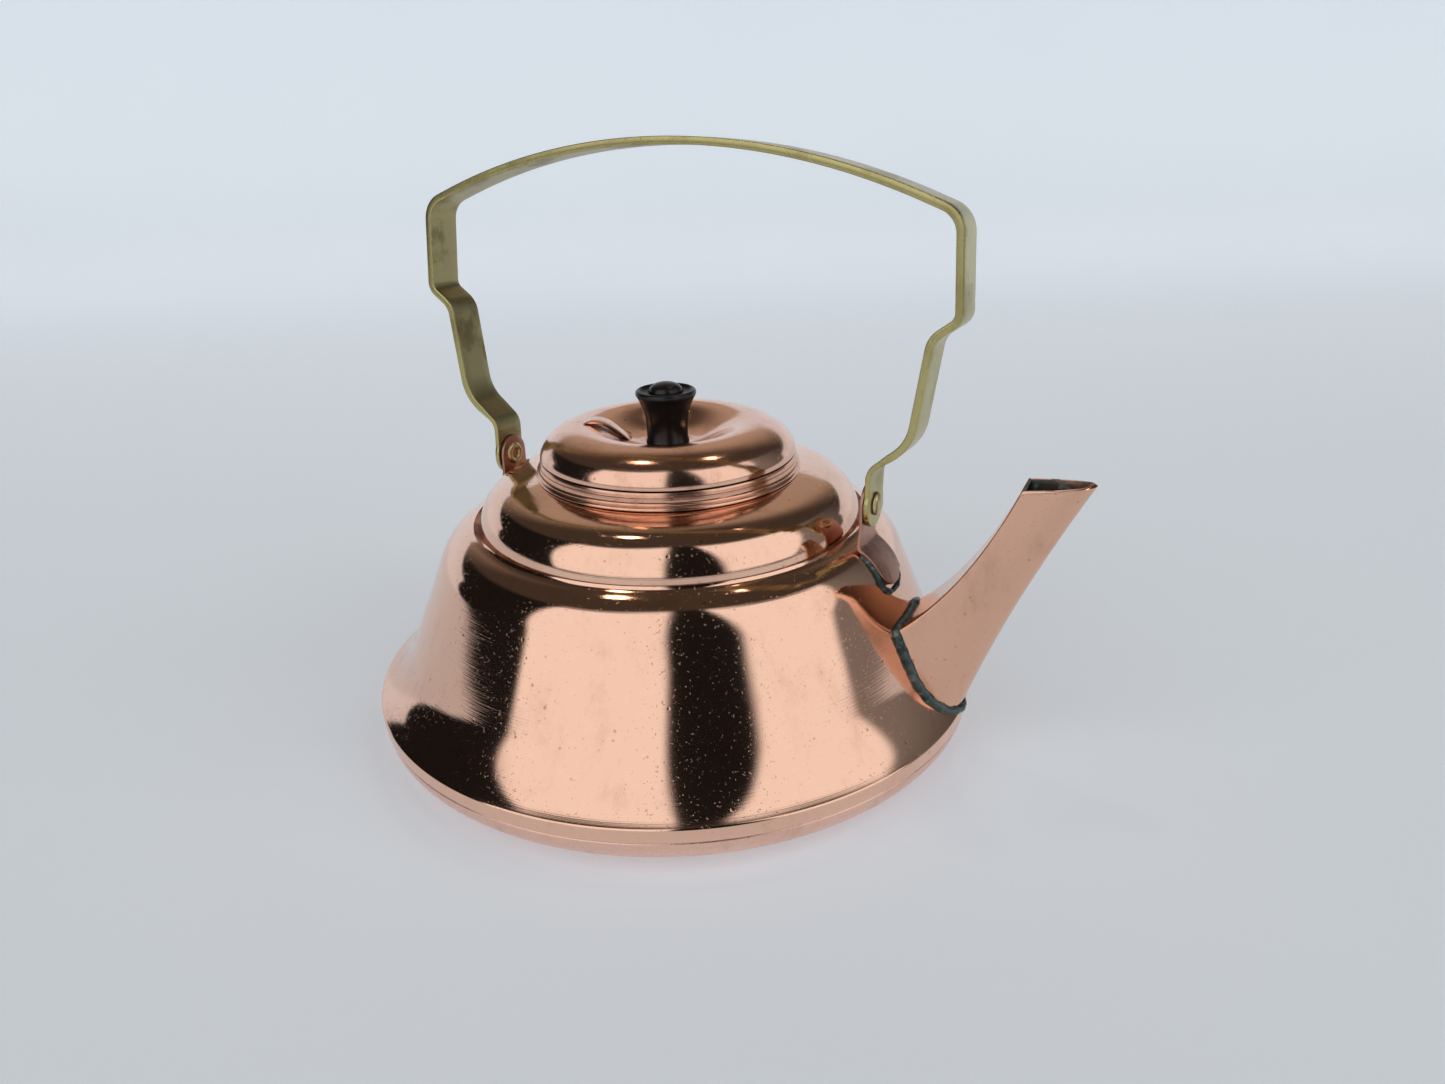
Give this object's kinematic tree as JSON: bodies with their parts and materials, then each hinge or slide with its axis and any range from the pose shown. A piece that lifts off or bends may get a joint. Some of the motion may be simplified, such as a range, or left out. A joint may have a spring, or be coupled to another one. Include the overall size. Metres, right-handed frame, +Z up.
{
  "type": "kettle",
  "caption": "Spun copper kettle with a flared base, a soldered tapering spout, a swinging brass strip bail and a lift-off lid with a black knob.",
  "frame": {"origin": "centre of the flat under the base, on the table", "axes": "+Z up along the body's axis, +X toward the spout in the plane of the bail's pivots"},
  "size_m": [0.2325, 0.2, 0.1862],
  "materials": {
    "spun_copper": "polished copper sheet",
    "worn_copper": "dull copper sheet",
    "strip_brass": "satin, drawn strip",
    "soft_solder": "lumpy, dark patina",
    "phenolic": "moulded, glossy",
    "plated_steel": "turned"
  },
  "bodies": {
    "vessel": {"body_shell": "spun_copper", "bottom_pan": "spun_copper", "base_solder": "soft_solder", "spout": "spun_copper", "spout_solder": "soft_solder", "right_lug": "worn_copper", "left_lug": "worn_copper", "right_lug_solder": "soft_solder", "left_lug_solder": "soft_solder", "right_rivet": "strip_brass", "left_rivet": "strip_brass"},
    "bail_handle": {"bail": "strip_brass"},
    "lid": {"lid_cover": "spun_copper", "lid_ring": "spun_copper", "knob": "phenolic", "knob_insert": "strip_brass", "knob_screw": "plated_steel", "knob_washer": "plated_steel"}
  },
  "joints": [
    {"name": "bail_hinge", "type": "hinge", "parent": "vessel", "child": "bail_handle", "pos_m": [0, 0, 0.0825], "axis": [1, 0, 0], "range_deg": [-112, 118]},
    {"name": "lid_lift", "type": "slide", "parent": "vessel", "child": "lid", "axis": [0, 0, 1], "range_m": [0, 0.06]}
  ]
}
